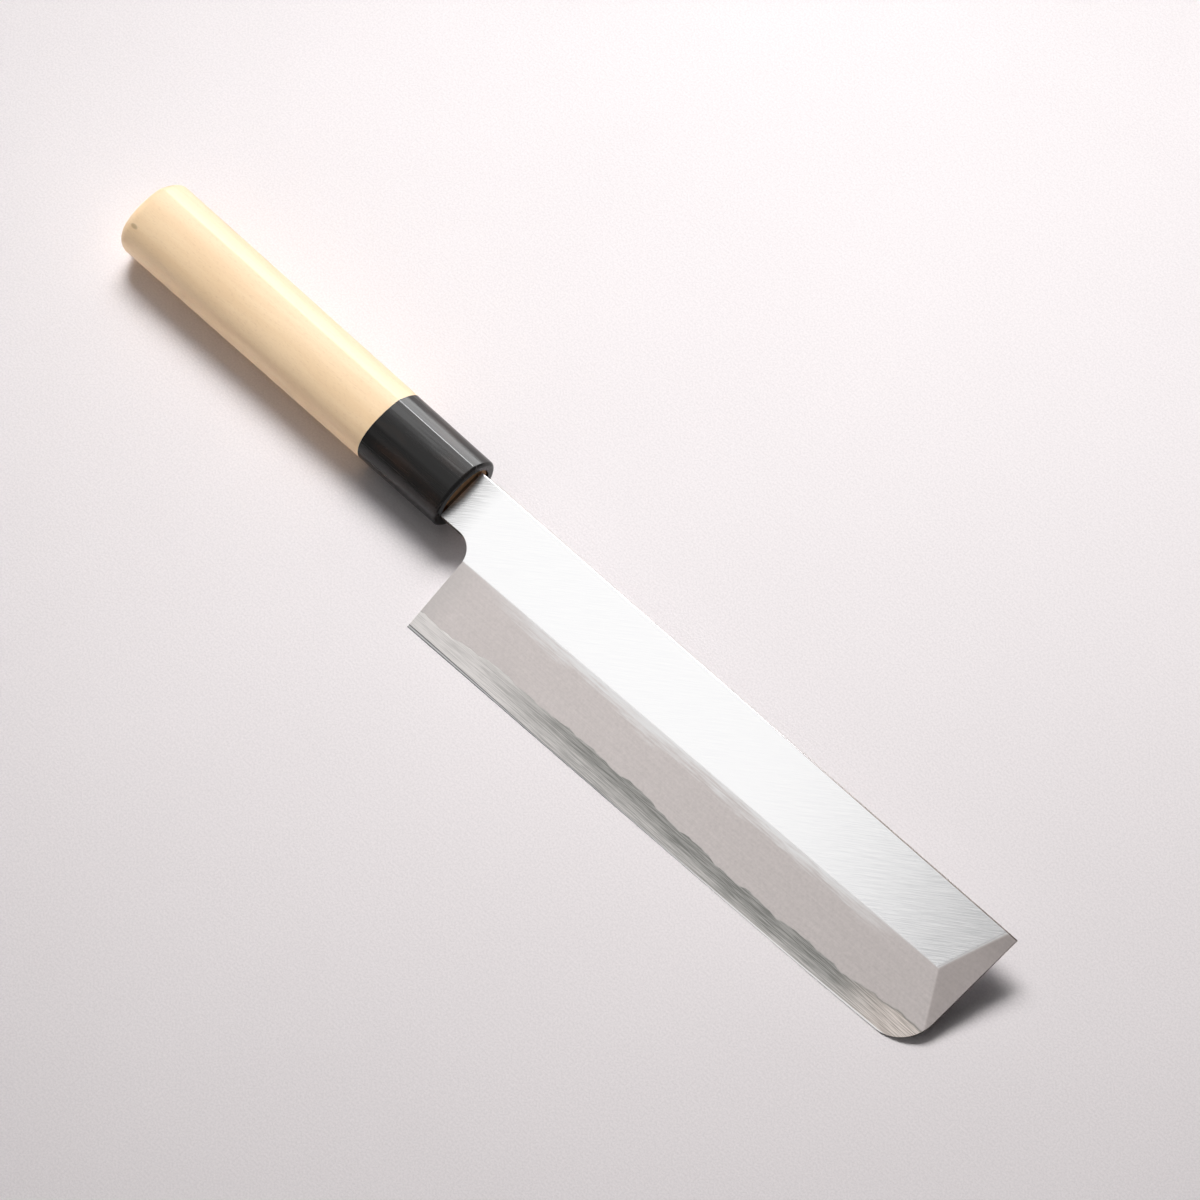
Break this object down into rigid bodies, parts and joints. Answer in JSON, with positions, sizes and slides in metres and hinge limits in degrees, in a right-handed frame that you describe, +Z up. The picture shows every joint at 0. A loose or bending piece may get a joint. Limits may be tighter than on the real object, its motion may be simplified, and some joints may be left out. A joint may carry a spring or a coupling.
{
  "type": "usuba knife",
  "caption": "Single-bevel vegetable knife with a straight edge and squared tip, a laminated hollow-backed blade, a wooden handle of ridged oval section and a dark horn ferrule.",
  "frame": {"origin": "on the table under the middle of the knife's bounding box", "axes": "+X along the edge from the handle to the tip, +Y from the edge towards the spine, +Z up from the table that the knife lies on"},
  "size_m": [0.3448, 0.0546, 0.0215],
  "materials": {
    "soft_iron": "ground flat with fine slanted scratches, hazy matt bevel",
    "hard_steel": "honed band with scratches along the edge",
    "pale_wood": "fine sanded, satin, unvarnished",
    "dark_horn": "polished horn with faint brown streaks"
  },
  "bodies": {
    "root": {"soft_iron_body": "soft_iron", "hard_steel_layer": "hard_steel", "wooden_handle": "pale_wood", "horn_ferrule": "dark_horn"}
  },
  "joints": []
}
